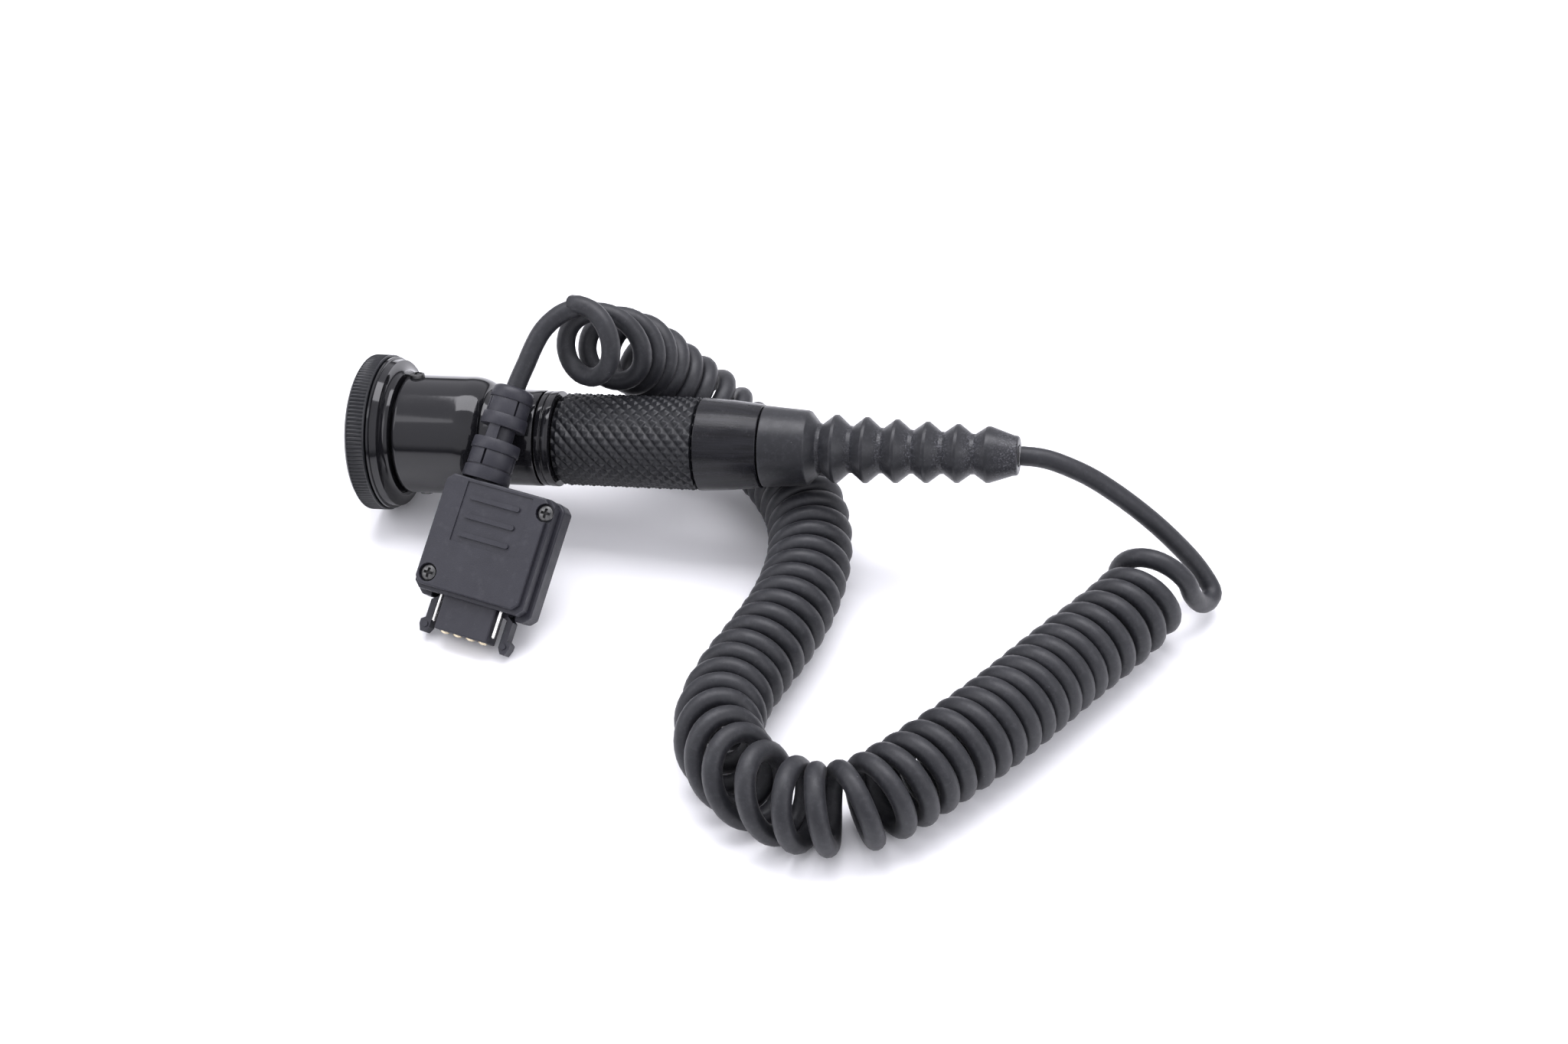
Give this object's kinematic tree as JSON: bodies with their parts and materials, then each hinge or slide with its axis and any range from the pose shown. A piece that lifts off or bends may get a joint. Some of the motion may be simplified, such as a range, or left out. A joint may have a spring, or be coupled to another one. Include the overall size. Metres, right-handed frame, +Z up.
{
  "type": "electric cable shutter release",
  "caption": "Hand-held electric shutter release: turned black handle with a sprung button in a serrated collar, ribbed boot, curly cord and flat latching plug.",
  "frame": {"origin": "under the centre of the handle's bounding box, on the surface it lies on; the cord and plug are left out of that box", "axes": "+X along the handle from its button end to its cord end, tipped up 6.4 degrees; +Z up; the plug lies on the -Y side"},
  "size_m": [0.1838, 0.1198, 0.0516],
  "materials": {
    "black_gloss": "gloss black, worn and lightly scratched",
    "black_satin": "satin black",
    "rubber": "matt charcoal rubber",
    "plug_plastic": "matt dark grey plastic",
    "steel": "dull steel",
    "nickel": "bright nickel",
    "gold": "pale gold plating",
    "brass": "plain brass",
    "nylon": "natural nylon"
  },
  "bodies": {
    "handle": {"end_flange": "black_gloss", "collar_retaining_ring": "steel", "barrel_housing": "black_gloss", "barrel_screw_top": "steel", "barrel_screw_bottom": "steel", "button_return_spring": "steel", "switch_carrier": "nylon", "leaf_pivot_pin": "steel", "contact_leaf_fixed": "brass", "neck_ring": "black_satin", "knurled_grip": "black_satin", "tail_cone": "black_satin", "core_tube": "brass", "sleeve_nut": "brass", "cable_boot": "rubber", "cable_clamp": "steel", "cable_inner_end": "rubber", "lead_wire_fixed": "gold", "lead_wire_moving": "nickel", "cord_handle_stretch": "rubber", "curly_cord_coil": "rubber", "cord_plug_stretch": "rubber", "plug_cover": "plug_plastic", "plug_base": "plug_plastic", "contact_block": "plug_plastic", "plug_contact_1": "gold", "plug_contact_2": "gold", "plug_contact_3": "gold", "plug_contact_4": "gold", "guide_pin_left": "nickel", "guide_pin_right": "nickel", "plug_screw_upper": "steel", "plug_screw_lower": "steel", "plug_strain_relief": "plug_plastic", "plug_cord_clamp": "steel", "plug_cord_core": "rubber", "latch_pin_left": "steel", "latch_pin_right": "steel", "latch_spring_left": "steel", "latch_spring_right": "steel"},
    "collar": {"lock_collar": "black_satin"},
    "button": {"release_button": "black_satin", "button_plunger": "nylon", "plunger_clip": "steel"},
    "leaf": {"contact_leaf_moving": "brass"},
    "latch_left": {"latch_left": "plug_plastic"},
    "latch_right": {"latch_right": "plug_plastic"}
  },
  "joints": [
    {"name": "button_press", "type": "slide", "parent": "handle", "child": "button", "axis": [0.9938, 0, 0.1115], "range_m": [0, 0.0025], "stiffness_N_per_m": 400, "springref_m": -0.001, "deforming": ["button_return_spring"]},
    {"name": "lock_collar_turn", "type": "hinge", "parent": "handle", "child": "collar", "pos_m": [-0.06856, 0, 0.01642], "axis": [0.9938, 0, 0.1115], "range_deg": [0, 30]},
    {"name": "contact_leaf_close", "type": "hinge", "parent": "handle", "child": "leaf", "pos_m": [-0.04986, 0, 0.01298], "axis": [0, 1, 0], "range_deg": [0, 8.5]},
    {"name": "latch_left_squeeze", "type": "hinge", "parent": "handle", "child": "latch_left", "pos_m": [-0.04072, -0.0315, 0.01127], "axis": [-0.126, -0.6303, 0.766], "range_deg": [0, 4.5], "stiffness_Nm_per_rad": 0.05, "springref_deg": -2.86},
    {"name": "latch_right_squeeze", "type": "hinge", "parent": "handle", "child": "latch_right", "pos_m": [-0.0266, -0.03433, 0.01127], "axis": [0.126, 0.6303, -0.766], "range_deg": [0, 4.5], "stiffness_Nm_per_rad": 0.05, "springref_deg": -2.86}
  ],
  "couplings": [
    {"joint": "contact_leaf_close", "follows": "button_press", "rad_per_m": 55.85}
  ]
}
